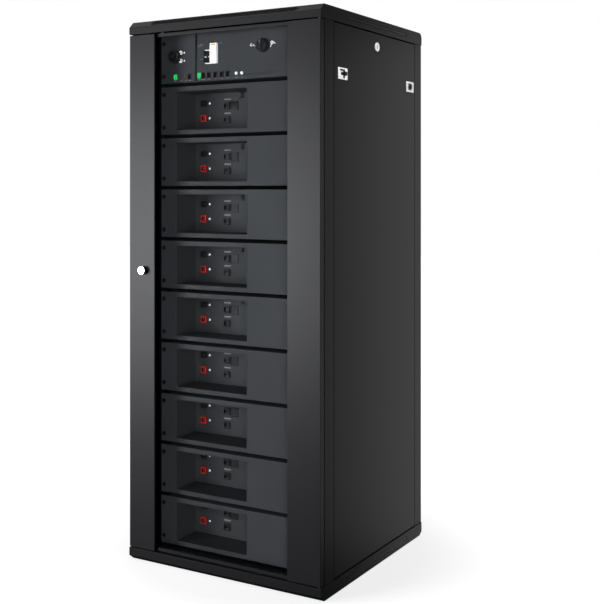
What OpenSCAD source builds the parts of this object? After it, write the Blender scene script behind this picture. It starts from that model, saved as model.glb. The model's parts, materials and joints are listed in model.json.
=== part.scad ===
// High-voltage battery rack: a glass-door cabinet with one control box over nine rack modules.
// Front is -Y, up is +Z, the origin is the centre of the footprint on the floor.

/* [Cabinet] */
// Outside width of the cabinet
cab_w = 600; // [598:1:604]
// Outside depth of the cabinet
cab_d = 600; // [598:1:604]
// Height of the plinth
plinth_h = 35; // [33:1:37]
// Height of the roof cover
cover_h = 35; // [33:1:38]
// Thickness of the cabinet's sheet steel
sheet = 2; // [1.8:0.1:2.2]
// Gap between neighbouring outer panels
panel_gap = 3; // [2.5:0.5:3.5]

/* [Front door] */
// Thickness of the door's steel stiles
door_t = 18; // [17:1:19]
// Width of the left stile
stile_left_w = 85; // [80:1:88]
// Width of the right stile
stile_right_w = 94.5; // [90:0.5:96]
// Thickness of the toughened glass
glass_t = 5; // [4:0.5:5.5]
// Distance from the stile's face back to the glass
glass_inset = 10; // [9:0.5:10.5]
// Radius of the door's hinge pins
hinge_pin_r = 3; // [2.8:0.1:3]

/* [Modules] */
// Number of battery modules
module_count = 9; // [9]
// Height of one module
module_h = 129.85; // [129:0.05:130]
// Distance from one module to the next
module_pitch = 139.85; // [139:0.05:140]
// Distance from the plinth to the lowest module
module_lift = 4.95; // [4.5:0.05:5.5]
// Width of the module's body
module_w = 440; // [436:1:442]
// Width of the rack front panel
rack_w = 482.6; // [480:0.1:484]
// Depth of the module's body behind the rack plane
module_d = 422; // [418:1:424]
// Distance from the cabinet's front to the rack plane
rack_inset = 66; // [64:1:68]
// Width of the connector bay
bay_w = 232; // [228:1:234]
// Height of the connector bay
bay_h = 107; // [104:1:108]
// Depth of the connector bay
bay_d = 90; // [86:1:92]

/* [Cells] */
// Width of one prismatic cell
cell_w = 50; // [48:0.5:50.5]
// Length of one prismatic cell
cell_l = 160; // [156:1:161]
// Height of one prismatic cell
cell_h = 118; // [114:1:119]

/* [Hidden] */
$fn = 48;
touch = 0.01;
half_w = cab_w / 2;
half_d = cab_d / 2;
body_half = half_w - 2;
cover_gap = 3;
body_top = plinth_h + 1395;
cab_h = body_top + cover_h;
door_z0 = plinth_h + panel_gap;
door_z1 = body_top - panel_gap;
door_front = -half_d;
door_back = door_front + door_t;
post_front = door_back + panel_gap;
rack_y = -half_d + rack_inset;
front_panel_t = 2;
rail_t = 2;
case_t = 1.5;
module_rear = rack_y + 2 + module_d;
bay_x0 = -191;
bay_top_margin = 12;
bay_back = rack_y + bay_d;
box_z = plinth_h + module_lift + module_count * module_pitch;
box_h = body_top - 2 - box_z;

// Posts, rails and panels
post_d = 47;
post_front_flange = 26;
rear_post_d = 43;
rear_post_w = 42;
rear_lip = 16;
rail_half = 225.5;
rail_out = 258;
rail_depth = 42;
rear_rail_y = 202;
support_w = 64;
support_t = 2.5;
hole_sq = 9.5;
ear_hole_x = 232.6;
ear_hole_margin = 20;

// Plinth and cover
front_chamfer_d = 17;
plinth_chamfer_h = 13;
rear_chamfer_d = 14;
rear_chamfer_h = 8;
cover_face_h = 19;
cover_rear_r = 15;
vent_y0 = -165;
vent_y1 = 197;
vent_h = 14;
anchor_x = 200;
anchor_y = 258;
anchor_r = 6.5;
entry_y0 = 196;
entry_y1 = 236;
entry_x = 150;

// Hinges and locks
front_hinge = [body_half - 5.5, door_front + 7.5];
pin_clearance = 0.06;
block_h = 20;
rear_hinge = [255, half_d + 6];
rear_hinge_r = 5.6;
knuckle_h = 25;
knuckle_gap = 0.5;
rear_hinge_z = [250, 1190];
lock_x = -half_w + 50.5;
lock_z = 791;
lock_r = 11.5;
lock_out = 12;
lock_body_r = 9;
plug_r = 7;
plug_gap = 0.06;
cam_l = 30;
cam_w = 12;
cam_t = 3;
rear_lock_x = -228;
side_lock_y = 8;
side_lock_z = body_top - 38;
side_lock_r = 12;
side_lock_out = 3;
side_body_r = 8;
side_plug_r = 5.5;
latch_w = 48;
latch_h = 29.5;
latch_z = 1302;
latch_front_y = -186;
latch_rear_y = 219.5;
latch_t = 2;
knob_r = 4.5;
slot_l = 22;
slot_w = 8;
bolt_t = 3;
bolt_w = 12;
panel_y0 = post_front + post_d + 2;
panel_y1 = half_d - rear_post_d - 2;
panel_fold = 10;
panel_t = 1.5;

// Module fittings
connector_x = -160;

// Control box fittings, positions from the box's lower edge
power_at = [-191, 71];
power_r = 16;
front_seam_x = -123;
front_seam_w = 7;
breaker_at = [-70.5, 73];
breaker_w = 37;
pole_h = 18;
breaker_h = 3 * pole_h;
breaker_out = 8;
breaker_x0 = breaker_at[0] - breaker_w / 2;
breaker_z0 = breaker_at[1] - breaker_h / 2;
toggle_zone_w = 16;
fin = 2;
toggle_zone_h = 2 * pole_h + fin / 2;
isolator_at = [91, 84];
isolator_r = 17.5;
button_at = [[8.5, 16], [26, 16]];
button_r = 4;
button_travel = 2.5;
port_row_z = 16;
toggle_x = breaker_x0 + 8.5;
toggle_y = rack_y - 5;
toggle_r = 4;
toggle_rest = 30;
lever_l = 13;
green_at = [-191.5, -112];
green_h = 14;
port_at = [-145, -100, -81.5, -60.5, -39.5, -21];

module_names = [for (i = [1 : 9]) str("module_", i, "_case")];

// ---------- helpers ----------

// A block between two corners
module block(x, y, z) {
    translate([x[0], y[0], z[0]])
        cube([x[1] - x[0], y[1] - y[0], z[1] - z[0]]);
}

// A YZ outline drawn as [y, z], extruded along X over a centred width
module across(width) {
    translate([-width / 2, 0, 0])
        rotate([90, 0, 90])
            linear_extrude(width)
                children();
}

// A cylinder along Y from y0 to y1
module rod_y(x, z, y0, y1, r) {
    translate([x, y1, z])
        rotate([90, 0, 0])
            cylinder(r = r, h = y1 - y0);
}

// A cylinder along X from x0 to x1
module rod_x(y, z, x0, x1, r) {
    translate([x0, y, z])
        rotate([0, 90, 0])
            cylinder(r = r, h = x1 - x0);
}

// The children and their mirror image across the middle plane
module both_sides() {
    children();
    mirror([1, 0, 0])
        children();
}

// The children on the left side, or mirrored to the right
module on_side(side) {
    mirror([side == "right" ? 1 : 0, 0, 0])
        children();
}

// Lower edge of module i, counted from the top
function module_z(i) = plinth_h + module_lift + (module_count - i) * module_pitch;

// Copies the children to every module's lower edge
module each_module() {
    for (i = [1 : module_count])
        translate([0, 0, module_z(i)])
            children();
}

// ---------- frame ----------

// Side view of the plinth, thinned by a wall
module plinth_outline(wall) {
    polygon([
        [-half_d + front_chamfer_d + wall * 0.6, wall],
        [-half_d + wall, plinth_chamfer_h + wall * 0.6],
        [-half_d + wall, plinth_h - wall],
        [half_d - wall, plinth_h - wall],
        [half_d - wall, rear_chamfer_h + wall * 0.6],
        [half_d - rear_chamfer_d - wall * 0.6, wall]
    ]);
}

// A long window for a vent in a side wall, in the wall's YZ plane
module vent_window(z, depth) {
    r = vent_h / 2;
    translate([-half_w - 1, 0, z]) {
        translate([0, vent_y0 + r, -r])
            cube([depth + 1, vent_y1 - vent_y0 - vent_h, vent_h]);
        for (y = [vent_y0 + r, vent_y1 - r])
            rod_x(y, 0, 0, depth + 1, r);
    }
}

module base_plinth() {
    color([0.12, 0.12, 0.13])
    difference() {
        across(cab_w)
            plinth_outline(0);
        across(cab_w - 2 * sheet)
            plinth_outline(sheet + 1);
        // Open floor between the bottom flanges
        block([-entry_x - 40, entry_x + 40], [-215, entry_y1], [-1, sheet + 2]);
        // Cable entry through the top sheet
        block([-entry_x, entry_x], [entry_y0, entry_y1], [plinth_h - 5, plinth_h + 1]);
        // Floor bolts pass through both sheets
        for (x = [-anchor_x, anchor_x], y = [-anchor_y, anchor_y])
            translate([x, y, -1])
                cylinder(r = anchor_r, h = plinth_h + 2);
        both_sides()
            vent_window(plinth_h / 2, sheet + 1);
    }
}

// Side view of the cover, thinned by a wall
module cover_outline(wall) {
    polygon([
        [-half_d + wall, body_top - wall],
        [-half_d + wall, body_top + cover_face_h - wall * 0.6],
        [-half_d + front_chamfer_d - 1 + wall * 0.6, cab_h - wall],
        each [for (a = [90 : -9 : 0])
            [half_d - cover_rear_r, cab_h - cover_rear_r] + (cover_rear_r - wall) * [cos(a), sin(a)]],
        [half_d - wall, body_top - wall]
    ]);
}

module roof_cover() {
    color([0.15, 0.15, 0.16])
    difference() {
        across(cab_w)
            cover_outline(0);
        across(cab_w - 2 * sheet)
            cover_outline(sheet);
        both_sides()
            vent_window(body_top + cover_h / 2, sheet + 1);
    }
}

// Perforated strips behind the four side windows
module vent_strip(z) {
    slots = 36;
    y0 = vent_y0 - 4;
    y1 = vent_y1 + 4;
    step = (y1 - y0 - 20) / slots;
    difference() {
        block([-half_w + sheet, -half_w + sheet + 1],
            [y0, y1], [z - vent_h / 2 - 2, z + vent_h / 2 + 2]);
        for (k = [0 : slots - 1])
            block([-half_w, -half_w + 8], [y0 + 10 + k * step, y0 + 13.5 + k * step], [z - 5.5, z + 5.5]);
    }
}

module vent_grilles() {
    color([0.07, 0.07, 0.07])
    both_sides() {
        vent_strip(plinth_h / 2);
        vent_strip(body_top + cover_h / 2);
    }
}

// Folded section of a front post on the left
module front_post_section() {
    y0 = post_front;
    y1 = post_front + post_d;
    polygon([
        [-body_half, y0],
        [-body_half + post_front_flange, y0],
        [-body_half + post_front_flange, y0 + sheet],
        [-body_half + sheet, y0 + sheet],
        [-body_half + sheet, y1 - sheet],
        [-rack_w / 2 - 2, y1 - sheet],
        [-rack_w / 2 - 2, y1],
        [-body_half, y1]
    ]);
}

module front_posts() {
    color([0.13, 0.13, 0.14])
    both_sides()
    difference() {
        translate([0, 0, plinth_h])
            linear_extrude(body_top - plinth_h)
                front_post_section();
        // Slot that the side panel's latch bolt enters
        latch_keeper(post_front + post_d - sheet);
    }
}

// Opening in a post flange for a latch bolt
module latch_keeper(y) {
    block([-body_half + 4, -body_half + 12], [y - 1, y + sheet + 1],
        [latch_z - bolt_w / 2 - 1.5, latch_z + bolt_w / 2 + 1.5]);
}

// Folded section of a rear post on the left, with the door's stop lip
module rear_post_section() {
    y0 = half_d - rear_post_d;
    y1 = half_d;
    x0 = -body_half;
    x1 = -body_half + rear_post_w;
    polygon([
        [x0, y0],
        [x1 - 6, y0],
        [x1 - 6, y0 + sheet],
        [x0 + sheet, y0 + sheet],
        [x0 + sheet, y1 - sheet],
        [x1 - sheet, y1 - sheet],
        [x1 - sheet, y1 - rear_lip],
        [x1, y1 - rear_lip],
        [x1, y1],
        [x0, y1]
    ]);
}

module rear_posts() {
    color([0.16, 0.16, 0.17])
    both_sides()
    difference() {
        translate([0, 0, plinth_h])
            linear_extrude(body_top - plinth_h)
                rear_post_section();
        latch_keeper(half_d - rear_post_d);
    }
}

// Rails that close the frame under the cover; the side rails carry the side panels' lock lip
module top_rails() {
    lip = 22;
    lip_x = -body_half + 11;
    color([0.13, 0.13, 0.14]) {
        block([-body_half + post_front_flange + touch, body_half - post_front_flange - touch],
            [post_front, rack_y - 2], [body_top - sheet, body_top]);
        block([-body_half + rear_post_w, body_half - rear_post_w],
            [half_d - rear_post_d, half_d - rear_lip - 4], [body_top - sheet, body_top]);
        both_sides()
            translate([0, panel_y0, 0])
                rotate([-90, 0, 0])
                    linear_extrude(panel_y1 - panel_y0)
                        polygon([
                            [lip_x, -body_top],
                            [lip_x, -body_top + lip],
                            [lip_x + sheet, -body_top + lip],
                            [lip_x + sheet, -body_top + sheet],
                            [lip_x + 30, -body_top + sheet],
                            [lip_x + 30, -body_top]
                        ]);
    }
}

// One 19-inch rail: a flange with square holes and a side flange, on the left
module mounting_rail(face_y, back) {
    holes = 5;
    z0 = plinth_h;
    z1 = body_top - sheet;
    difference() {
        union() {
            block([-rail_out, -rail_half], [face_y, face_y + rail_t], [z0, z1]);
            block([-rail_out, -rail_out + rail_t],
                back ? [face_y + rail_t - rail_depth, face_y + rail_t] : [face_y, face_y + rail_depth],
                [z0, z1]);
        }
        for (i = [0 : module_count], k = [0 : holes - 1]) {
            z = plinth_h + module_lift + i * module_pitch + ear_hole_margin
                + k * (module_h - 2 * ear_hole_margin) / (holes - 1);
            block([-ear_hole_x - hole_sq / 2, -ear_hole_x + hole_sq / 2],
                [face_y - 1, face_y + rail_t + 1], [z - hole_sq / 2, z + hole_sq / 2]);
        }
    }
}

module mounting_rails() {
    color([0.55, 0.56, 0.58])
    both_sides() {
        mounting_rail(rack_y + front_panel_t, false);
        mounting_rail(rear_rail_y - rail_t, true);
    }
}

// Angle brackets that carry each unit between the front and rear rails
module support_rails() {
    x1 = -rail_out + rail_t;
    y0 = rack_y + front_panel_t + rail_t;
    y1 = rear_rail_y - rail_t;
    color([0.5, 0.51, 0.53])
    for (i = [0 : module_count])
        translate([0, 0, plinth_h + module_lift + i * module_pitch])
            both_sides() {
                block([x1, x1 + support_w], [y0, y1], [-support_t, 0]);
                block([x1, x1 + support_t], [y0, y1], [-touch, 26]);
            }
}

// Lift-off pins: front pair on the plinth and cover, rear pair on bracket plates
module hinge_pins() {
    pin_l = block_h - 3;
    color([0.7, 0.7, 0.72]) {
        translate([front_hinge[0], front_hinge[1], plinth_h])
            cylinder(r = hinge_pin_r, h = panel_gap + pin_l);
        translate([front_hinge[0], front_hinge[1], body_top - panel_gap - pin_l])
            cylinder(r = hinge_pin_r, h = panel_gap + pin_l);
        for (z = rear_hinge_z) {
            translate([rear_hinge[0], rear_hinge[1], z])
                cylinder(r = rear_hinge_r, h = knuckle_h);
            translate([rear_hinge[0], rear_hinge[1], z])
                cylinder(r = hinge_pin_r, h = 2 * knuckle_h - 2);
            block([rear_hinge[0] + 2, rear_hinge[0] + 34], [half_d, half_d + sheet], [z, z + knuckle_h]);
        }
    }
}

// ---------- battery modules ----------

// Folded steel case with its rack front, open where the connector bay sits
module module_case() {
    half = module_w / 2;
    front_y = rack_y + front_panel_t;
    difference() {
        union() {
            block([-rack_w / 2, rack_w / 2], [rack_y, front_y], [0, module_h]);
            block([-half, half], [front_y - touch, module_rear], [0, module_h]);
        }
        block([-half + case_t, half - case_t], [front_y, module_rear - case_t], [case_t, module_h - case_t]);
        block([bay_x0, bay_x0 + bay_w], [rack_y - 1, front_y + 1],
            [module_h - bay_top_margin - bay_h, module_h - bay_top_margin]);
        ear_holes(module_h);
    }
}

// Clearance holes for the rack screws in a front panel of height h
module ear_holes(h) {
    for (x = [-ear_hole_x, ear_hole_x], z = [ear_hole_margin, h - ear_hole_margin])
        rod_y(x, z, rack_y - 1, rack_y + front_panel_t + 1, 3.3);
}

// The pan that forms the connector bay
module bay_pan() {
    z1 = module_h - bay_top_margin;
    z0 = z1 - bay_h;
    difference() {
        block([bay_x0, bay_x0 + bay_w], [rack_y, bay_back + case_t], [z0, z1]);
        block([bay_x0 + case_t, bay_x0 + bay_w - case_t], [rack_y - 1, bay_back], [z0 + case_t, z1 - case_t]);
    }
}

module module_bay_pans() {
    color([0.1, 0.1, 0.1])
    each_module()
        bay_pan();
}

// Sixteen prismatic cells in two rows of eight
module module_cells() {
    per_row = 8;
    pitch_x = cell_w + 0.8;
    first_y = bay_back + 6;
    color([0.35, 0.45, 0.6])
    each_module()
        for (i = [0 : per_row - 1], j = [0 : 1])
            translate([(i - per_row / 2) * pitch_x + 0.4, first_y + j * (cell_l + 0.8), case_t + 0.5])
                cube([cell_w, cell_l, cell_h]);
}

// Links that join neighbouring cells across their tops
module module_busbars() {
    per_row = 8;
    pitch_x = cell_w + 0.8;
    link_l = 76;
    first_y = bay_back + 6;
    color([0.75, 0.45, 0.25])
    each_module()
        for (j = [0 : 1], end = [30, cell_l - 30], i = [0 : 3])
            translate([(i * 2 - per_row / 2 + 1) * pitch_x - link_l / 2,
                first_y + j * (cell_l + 0.8) + end - 9, case_t + 0.5 + cell_h])
                cube([link_l, 18, 2.5]);
}

// Management board on spacers behind the bay
module module_bms_boards() {
    z0 = module_h - bay_top_margin - bay_h + 6;
    y0 = bay_back + case_t + 1;
    color([0.1, 0.35, 0.2])
    each_module() {
        block([bay_x0 + 8, bay_x0 + bay_w - 8], [y0, y0 + 1.6], [z0, z0 + bay_h - 12]);
        for (x = [-150, -95, -30], z = [25, 60])
            block([x, x + 22], [y0 + 1.6 - touch, y0 + 3], [z0 + z - 15, z0 + z]);
    }
}

// Round socket in a square body on the bay's back wall
module battery_connector(x, z, w, h) {
    out = 7;
    difference() {
        block([x - w / 2, x + w / 2], [bay_back - out, bay_back], [z - h / 2, z + h / 2]);
        rod_y(x, z, bay_back - out - 1, bay_back - 1, 5.5);
    }
    rod_y(x, z, bay_back - out + 1.5, bay_back - 1 + touch, 2.5);
}

module module_minus_connectors() {
    color([0.08, 0.08, 0.08])
    each_module()
        battery_connector(connector_x, 89, 19, 16);
}

module module_plus_connectors() {
    color([0.75, 0.07, 0.06])
    each_module()
        battery_connector(connector_x, 48, 17, 19);
}

// Two data jacks, one above the other
module module_ports() {
    color([0.25, 0.25, 0.27])
    each_module()
        for (z = [80.5, 42])
            difference() {
                block([-92, -73], [bay_back - 6, bay_back], [z - 10, z + 9]);
                block([-89, -76], [bay_back - 7, bay_back - 1], [z - 6, z + 4.5]);
            }
}

// Address window, its frame and the small switch row above it
module module_indicators() {
    color([0.16, 0.17, 0.18])
    each_module() {
        difference() {
            block([-71.5, -47], [bay_back - 2, bay_back], [66, 92]);
            block([-70, -50], [bay_back - 3, bay_back - 1], [68, 90.5]);
        }
        block([-36.5, -29.5], [bay_back - 3.5, bay_back], [99, 115]);
        for (z = [101, 105, 109])
            block([-34.5, -31.5], [bay_back - 5, bay_back - 3.5 + touch], [z, z + 2]);
    }
}

// A pan-head screw with its cage nut, on both ears
module rack_screw_row(z) {
    y = rack_y;
    for (x = [-ear_hole_x, ear_hole_x]) {
        rod_y(x, z, y - 3.5, y, 5.5);
        rod_y(x, z, y - touch, y + 10, 3);
        difference() {
            block([x - 6, x + 6], [y + front_panel_t + rail_t, y + front_panel_t + rail_t + 5],
                [z - 6, z + 6]);
            rod_y(x, z, y, y + 12, 3);
        }
    }
}

module rack_screws() {
    color([0.1, 0.1, 0.1]) {
        each_module()
            for (z = [ear_hole_margin, module_h - ear_hole_margin])
                rack_screw_row(z);
        for (z = [ear_hole_margin, box_h - ear_hole_margin])
            translate([0, 0, box_z])
                rack_screw_row(z);
    }
}

// ---------- control box ----------

// Moves the children to the control box's lower edge
module in_box() {
    translate([0, 0, box_z])
        children();
}

module control_box_case() {
    half = module_w / 2;
    y0 = rack_y + front_panel_t;
    color([0.14, 0.14, 0.15])
    in_box()
    difference() {
        block([-half, half], [y0, module_rear], [0, box_h]);
        block([-half + case_t, half - case_t], [y0 - 1, module_rear - case_t], [case_t, box_h - case_t]);
    }
}

module control_box_front() {
    y0 = rack_y - 1;
    y1 = rack_y + front_panel_t + 1;
    color([0.17, 0.17, 0.18])
    in_box()
    difference() {
        block([-rack_w / 2, rack_w / 2], [rack_y, rack_y + front_panel_t], [0, box_h]);
        ear_holes(box_h);
        rod_y(power_at[0], power_at[1], y0, y1, power_r - 4);
        block([breaker_x0, breaker_x0 + breaker_w], [y0, y1], [breaker_z0, breaker_z0 + toggle_zone_h]);
        block([breaker_x0 + toggle_zone_w, breaker_x0 + breaker_w], [y0, y1],
            [breaker_z0, breaker_z0 + breaker_h]);
        rod_y(isolator_at[0], isolator_at[1], y0, y1, 6);
        // Seam between the narrow power plate and the main plate
        block([front_seam_x - front_seam_w / 2, front_seam_x + front_seam_w / 2], [y0, y1], [-1, box_h + 1]);
        for (at = button_at)
            rod_y(at[0], at[1], y0, y1, button_r + 0.3);
        for (x = green_at)
            block([x - 5, x + 5], [y0, y1], [port_row_z - green_h / 2, port_row_z + green_h / 2]);
        for (x = port_at)
            block([x - 5.5, x + 5.5], [y0, y1], [port_row_z - 8, port_row_z + 8]);
    }
}

// Main contactors and the fuse that switch the battery string
module control_contactors() {
    floor_z = case_t;
    color([0.2, 0.2, 0.22])
    in_box() {
        for (x = [-150, -60, 30]) {
            block([x, x + 62], [-60, 20], [floor_z, 60]);
            translate([x + 31, -20, 60 - touch])
                cylinder(r = 26, h = 22);
        }
        block([130, 170], [-80, 60], [floor_z, 40]);
    }
}

module control_board() {
    color([0.1, 0.35, 0.2])
    in_box() {
        block([-180, 60], [rack_y + 40, rack_y + 41.6], [case_t, 110]);
        for (x = [-150, -90, -20])
            block([x, x + 30], [rack_y + 41.6 - touch, rack_y + 48], [40, 65]);
    }
}

// Round coded power connector with its flange and key ring
module power_connector() {
    x = power_at[0];
    z = power_at[1];
    color([0.07, 0.07, 0.07])
    in_box() {
        difference() {
            union() {
                rod_y(x, z, rack_y - 4, rack_y, power_r + 1);
                rod_y(x, z, rack_y - 16, rack_y - 4 + touch, power_r - 1);
                rod_y(x, z, rack_y - touch, rack_y + 12, power_r - 4);
            }
            rod_y(x, z, rack_y - 17, rack_y - 6, power_r - 4);
        }
        rod_y(x, z, rack_y - 14, rack_y - 6 + touch, 5);
    }
}

// Breaker lying on its side, its nose through the panel: two poles with toggles and one trip pole
module breaker_body() {
    x0 = breaker_x0;
    x1 = breaker_x0 + breaker_w;
    z0 = breaker_z0;
    y0 = rack_y - breaker_out;
    color([0.85, 0.85, 0.84])
    in_box() {
        difference() {
            union() {
                block([x0 + toggle_zone_w, x1], [y0, rack_y + 12], [z0, z0 + breaker_h]);
                block([x0, x0 + toggle_zone_w + touch], [rack_y, rack_y + 12], [z0, z0 + toggle_zone_h]);
                block([x0 - 18, x1 + 18], [rack_y + 12 - touch, rack_y + 38], [z0, z0 + breaker_h]);
            }
            // Grooves between the poles
            for (k = [1, 2])
                block([x0, x1 + 1], [y0 - 1, y0 + 1], [z0 + k * pole_h - 0.4, z0 + k * pole_h + 0.4]);
        }
        // Fins beside the toggles
        difference() {
            for (k = [0 : 2])
                block([x0, x0 + toggle_zone_w + touch], [y0, rack_y + touch],
                    [z0 + k * pole_h - (k == 0 ? 0 : fin / 2), z0 + k * pole_h + (k == 0 ? fin : fin / 2)]);
            translate([toggle_x, toggle_y, z0 + pole_h - fin])
                cylinder(r = toggle_r + 0.3, h = 2 * fin);
        }
    }
}

// Two levers tied behind the fins by one shaft
module breaker_toggle() {
    z0 = breaker_z0;
    lever_w = pole_h - 5;
    color([0.06, 0.06, 0.06])
    in_box() {
        translate([toggle_x, toggle_y, z0 + 2.4])
            cylinder(r = toggle_r, h = 2 * pole_h - 4.8);
        for (k = [0, 1])
            translate([toggle_x, toggle_y, z0 + k * pole_h + 2.5])
                rotate([0, 0, -toggle_rest])
                    translate([-1.8, -lever_l, 0])
                        cube([3.6, lever_l, lever_w]);
    }
}

// Two green pluggable terminal blocks with round wire mouths
module terminal_blocks() {
    color([0.15, 0.5, 0.25])
    in_box()
    for (x = green_at)
        difference() {
            block([x - 5, x + 5], [rack_y - 3, rack_y + 10],
                [port_row_z - green_h / 2, port_row_z + green_h / 2]);
            for (z = [-4.2, 0, 4.2])
                rod_y(x, port_row_z + z, rack_y - 4, rack_y + 6, 1.6);
        }
}

// Row of data ports
module control_ports() {
    color([0.1, 0.1, 0.11])
    in_box()
    for (x = port_at)
        difference() {
            block([x - 5.5, x + 5.5], [rack_y - 2, rack_y + 14], [port_row_z - 8, port_row_z + 8]);
            block([x - 3.5, x + 3.5], [rack_y - 3, rack_y + 8], [port_row_z - 6, port_row_z + 6]);
        }
}

module isolator_base() {
    x = isolator_at[0];
    z = isolator_at[1];
    color([0.09, 0.09, 0.09])
    in_box()
    difference() {
        union() {
            rod_y(x, z, rack_y - 5, rack_y, isolator_r + 1);
            rod_y(x, z, rack_y - touch, rack_y + 26, 5.9);
        }
        rod_y(x, z, rack_y - 6, rack_y + 20, 3.06);
    }
}

// Round knob with a grip bar, on its shaft
module isolator_knob() {
    x = isolator_at[0];
    z = isolator_at[1];
    color([0.05, 0.05, 0.05])
    in_box() {
        rod_y(x, z, rack_y - 5.5, rack_y + 18, 3);
        rod_y(x, z, rack_y - 12, rack_y - 5.5 + touch, isolator_r - 1.5);
        block([x - 3.5, x + 3.5], [rack_y - 19, rack_y - 12 + touch],
            [z - isolator_r + 3, z + isolator_r - 3]);
    }
}

// Round push button: a cap before the panel and a stem through it
module push_button(at) {
    in_box() {
        rod_y(at[0], at[1], rack_y - button_travel - 1.5, rack_y + 8, button_r);
    }
}

module button_start() {
    color([0.9, 0.9, 0.88])
    push_button(button_at[0]);
}

module button_reset() {
    color([0.9, 0.9, 0.88])
    push_button(button_at[1]);
}

// ---------- front door ----------

glass_y = door_front + glass_inset;
lap = 12;
glass_x0 = -body_half + stile_left_w;
glass_x1 = body_half - stile_right_w;
stile_t = 1.5;

// Section of a stile whose outer edge is x0 and inner edge x1, with its glass rebate
module stile_section(x0, x1) {
    s = sign(x1 - x0);
    rebate_y = glass_y - 1;
    difference() {
        polygon([
            [x0, door_front],
            [x1, door_front],
            [x1, rebate_y],
            [x1 - s * (lap + 1), rebate_y],
            [x1 - s * (lap + 1), door_back],
            [x0, door_back]
        ]);
        polygon([
            [x0 + s * stile_t, door_front + stile_t],
            [x1 - s * (lap + 1 + stile_t), door_front + stile_t],
            [x1 - s * (lap + 1 + stile_t), door_back - stile_t],
            [x0 + s * stile_t, door_back - stile_t]
        ]);
    }
}

module door_stile_left() {
    color([0.3, 0.3, 0.31])
    difference() {
        translate([0, 0, door_z0])
            linear_extrude(door_z1 - door_z0)
                stile_section(-body_half, glass_x0);
        rod_y(lock_x, lock_z, door_front - 1, door_back + 1, lock_body_r);
    }
}

// Right stile with a bored hinge block at each end
module door_stile_right() {
    s = stile_t;
    color([0.3, 0.3, 0.31])
    difference() {
        union() {
            translate([0, 0, door_z0])
                linear_extrude(door_z1 - door_z0)
                    stile_section(body_half, glass_x1);
            for (z = [door_z0, door_z1 - block_h])
                block([body_half - 18, body_half - s + touch],
                    [door_front + s - touch, door_back - s + touch], [z, z + block_h]);
        }
        for (z = [door_z0 - 1, door_z1 - block_h - 1])
            translate([front_hinge[0], front_hinge[1], z])
                cylinder(r = hinge_pin_r + pin_clearance, h = block_h + 2);
    }
}

// Slim channels along the glass's lower and upper edges
module door_rails() {
    rail_h = 8;
    y0 = glass_y - 1;
    y1 = door_back;
    color([0.05, 0.05, 0.05])
    for (z = [[door_z0, door_z0 + rail_h, 1], [door_z1 - rail_h, door_z1, 0]])
        difference() {
            block([glass_x0 - lap, glass_x1 + lap], [y0, y1], [z[0], z[1]]);
            block([glass_x0 - lap - 1, glass_x1 + lap + 1], [glass_y, glass_y + glass_t],
                [z[0] + (z[2] ? 2 : -1), z[1] - (z[2] ? -1 : 2)]);
        }
}

module door_glass() {
    color([0.5, 0.52, 0.55, 0.35])
    block([glass_x0 - lap, glass_x1 + lap], [glass_y, glass_y + glass_t], [door_z0 + 2, door_z1 - 2]);
}

// Strips that clamp the glass's upright edges from behind
module glass_retainers() {
    y0 = glass_y + glass_t;
    z0 = door_z0 + 8.5;
    z1 = door_z1 - 8.5;
    color([0.05, 0.05, 0.05]) {
        block([glass_x0 - lap, glass_x0 - 1], [y0, door_back], [z0, z1]);
        block([glass_x1 + 1, glass_x1 + lap], [y0, door_back], [z0, z1]);
    }
}

// Lock barrel along -Y: a round head, a threaded body and a plug bore
module lock_barrel_y(x, z, face, out_r, body_r, bore_r, head, back) {
    difference() {
        union() {
            rod_y(x, z, face - head, face, out_r);
            rod_y(x, z, face - touch, back, body_r);
        }
        rod_y(x, z, face - head - 1, back + 1, bore_r);
    }
}

module front_lock_barrel() {
    color([0.8, 0.8, 0.82])
    lock_barrel_y(lock_x, lock_z, door_front, lock_r, lock_body_r, plug_r + plug_gap, lock_out,
        post_front + 1);
}

// Key plug with its slot, and the cam that hooks behind the post's front flange
module front_lock_cam() {
    y1 = post_front + sheet + 1;
    color([0.7, 0.7, 0.72]) {
        difference() {
            rod_y(lock_x, lock_z, door_front - lock_out + 0.8, y1 + touch, plug_r);
            block([lock_x - 0.8, lock_x + 0.8], [door_front - lock_out, door_front - lock_out + 6],
                [lock_z - 4, lock_z + 4]);
        }
        block([lock_x - cam_w / 2, lock_x + cam_w / 2], [y1, y1 + cam_t], [lock_z - cam_l, lock_z + 8]);
    }
}

// ---------- rear door ----------

rear_door_half = body_half - rear_post_w - 2;

module rear_door() {
    t = 1.5;
    h = rear_door_half;
    louvres = 12;
    color([0.14, 0.14, 0.15]) {
        difference() {
            block([-h, h], [half_d - rear_lip, half_d], [door_z0, door_z1]);
            block([-h + t, h - t], [half_d - rear_lip - 1, half_d - t], [door_z0 + t, door_z1 - t]);
            // Two fields of air slots
            for (field = [180, 1050], k = [0 : louvres - 1])
                block([-150, 150], [half_d - 3, half_d + 1], [field + k * 14, field + k * 14 + 5]);
            rod_y(rear_lock_x, lock_z, half_d - 3, half_d + 1, lock_body_r);
        }
        for (z = rear_hinge_z)
            difference() {
                union() {
                    translate([rear_hinge[0], rear_hinge[1], z + knuckle_h + knuckle_gap])
                        cylinder(r = rear_hinge_r, h = knuckle_h);
                    block([rear_hinge[0] - 34, rear_hinge[0] - 2], [half_d - touch, half_d + sheet],
                        [z + knuckle_h + knuckle_gap, z + 2 * knuckle_h + knuckle_gap]);
                }
                translate([rear_hinge[0], rear_hinge[1], z])
                    cylinder(r = hinge_pin_r + pin_clearance, h = 2 * knuckle_h + 2);
            }
    }
}

module rear_lock_barrel() {
    color([0.8, 0.8, 0.82])
    translate([rear_lock_x, 0, lock_z])
        rotate([0, 0, 180])
            lock_barrel_y(0, 0, -half_d, lock_r, lock_body_r, plug_r + plug_gap, lock_out, -half_d + 22);
}

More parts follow.
